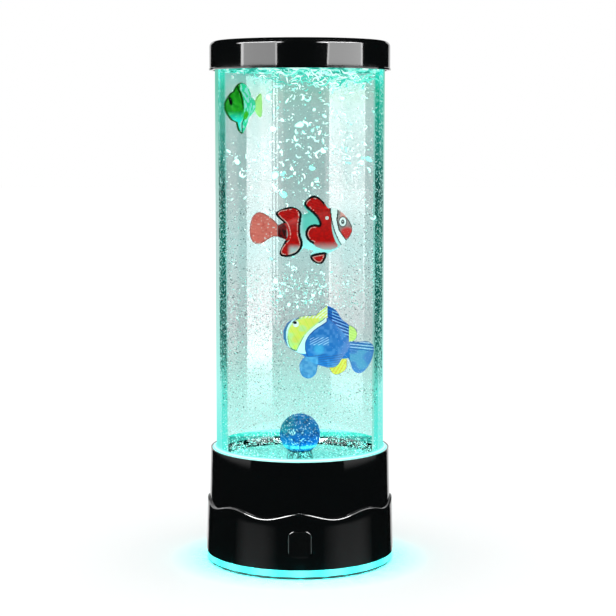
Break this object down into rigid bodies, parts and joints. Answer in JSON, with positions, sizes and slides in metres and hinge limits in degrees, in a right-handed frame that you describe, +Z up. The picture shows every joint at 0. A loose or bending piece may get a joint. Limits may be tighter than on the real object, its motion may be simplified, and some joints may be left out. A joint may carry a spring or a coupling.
{
  "type": "bubble fish lamp",
  "caption": "Bubble lamp: a tall clear water tube on a round black base with a wavy shoulder, a glowing foot ring and a push button, under a black lid, with toy fish above an air stone.",
  "frame": {"origin": "centre of the footprint on the table, under the rubber feet", "axes": "+Z up along the tube, -Y to the front where the button is, +X to the right seen from the front"},
  "size_m": [0.1096, 0.1099, 0.3],
  "materials": {
    "shell_black": "moulded, high gloss",
    "lid_black": "moulded, high gloss",
    "button_black": "moulded, high gloss",
    "base_black": "fine grain",
    "foot_rubber": "matt",
    "glow_ring": "translucent, lit from inside",
    "clear_tube": "clear, polished",
    "seal_clear": "translucent, satin",
    "foam": "matt foam",
    "board_green": "solder mask",
    "board_white": "solder mask",
    "light_chip": "cast resin",
    "switch_black": "moulded",
    "socket_white": "moulded",
    "contact_metal": "turned",
    "can_metal": "drawn, satin",
    "pump_plastic": "moulded",
    "sleeve_rubber": "matt",
    "strap_metal": "stamped",
    "valve_plastic": "moulded",
    "nozzle_plastic": "moulded",
    "stone_blue": "porous, glass beads bonded together",
    "hose_clear": "soft, translucent",
    "wire_jacket": "matt",
    "screw_metal": "zinc plated",
    "fish_red": "moulded, printed bands",
    "fish_blue": "moulded, printed bands",
    "fish_green": "moulded, printed bands"
  },
  "bodies": {
    "base": {"rubber_feet": "foot_rubber", "base_plate": "base_black", "light_ring": "glow_ring", "lower_shell": "shell_black", "upper_shell": "shell_black", "tube": "clear_tube", "tube_floor": "clear_tube", "floor_gasket": "foam", "collar_seal": "seal_clear", "button_board": "board_green", "key_switch": "switch_black", "control_board": "board_green", "control_chip": "switch_black", "capacitors": "can_metal", "wire_sockets": "socket_white", "power_inlet": "switch_black", "inlet_pin": "contact_metal", "light_board": "board_white", "lights": "light_chip", "ring_board": "board_white", "ring_lights": "light_chip", "pump_motor": "can_metal", "pump_head": "pump_plastic", "pump_sleeve": "sleeve_rubber", "pump_strap": "strap_metal", "check_valve": "valve_plastic", "air_nozzle": "nozzle_plastic", "nozzle_washer": "sleeve_rubber", "nozzle_nut": "nozzle_plastic", "air_stone": "stone_blue", "nozzle_hose": "hose_clear", "pump_hose": "hose_clear", "pump_wires": "wire_jacket", "light_wires": "wire_jacket", "button_wires": "wire_jacket", "ring_wires": "wire_jacket", "base_screws": "screw_metal", "shell_screws": "screw_metal", "light_board_screws": "screw_metal", "strap_screws": "screw_metal", "control_board_screws": "screw_metal", "button_board_screws": "screw_metal"},
    "lid": {"lid": "lid_black"},
    "button": {"button": "button_black", "switch_plunger": "switch_black"},
    "clownfish": {"clownfish": "fish_red"},
    "blue_fish": {"blue_fish": "fish_blue"},
    "green_fish": {"green_fish": "fish_green"}
  },
  "joints": [
    {"name": "lid_lift", "type": "slide", "parent": "base", "child": "lid", "axis": [0, 0, 1], "range_m": [0, 0.03]},
    {"name": "button_press", "type": "slide", "parent": "base", "child": "button", "axis": [0, 1, 0], "range_m": [0, 0.0008], "stiffness_N_per_m": 1500},
    {"name": "clownfish_swim", "type": "slide", "parent": "base", "child": "clownfish", "axis": [0, 0, 1], "range_m": [-0.087, 0.059]},
    {"name": "blue_fish_swim", "type": "slide", "parent": "base", "child": "blue_fish", "axis": [0, 0, 1], "range_m": [-0.019, 0.124]},
    {"name": "green_fish_swim", "type": "slide", "parent": "base", "child": "green_fish", "axis": [0, 0, 1], "range_m": [-0.187, 0.002]}
  ]
}
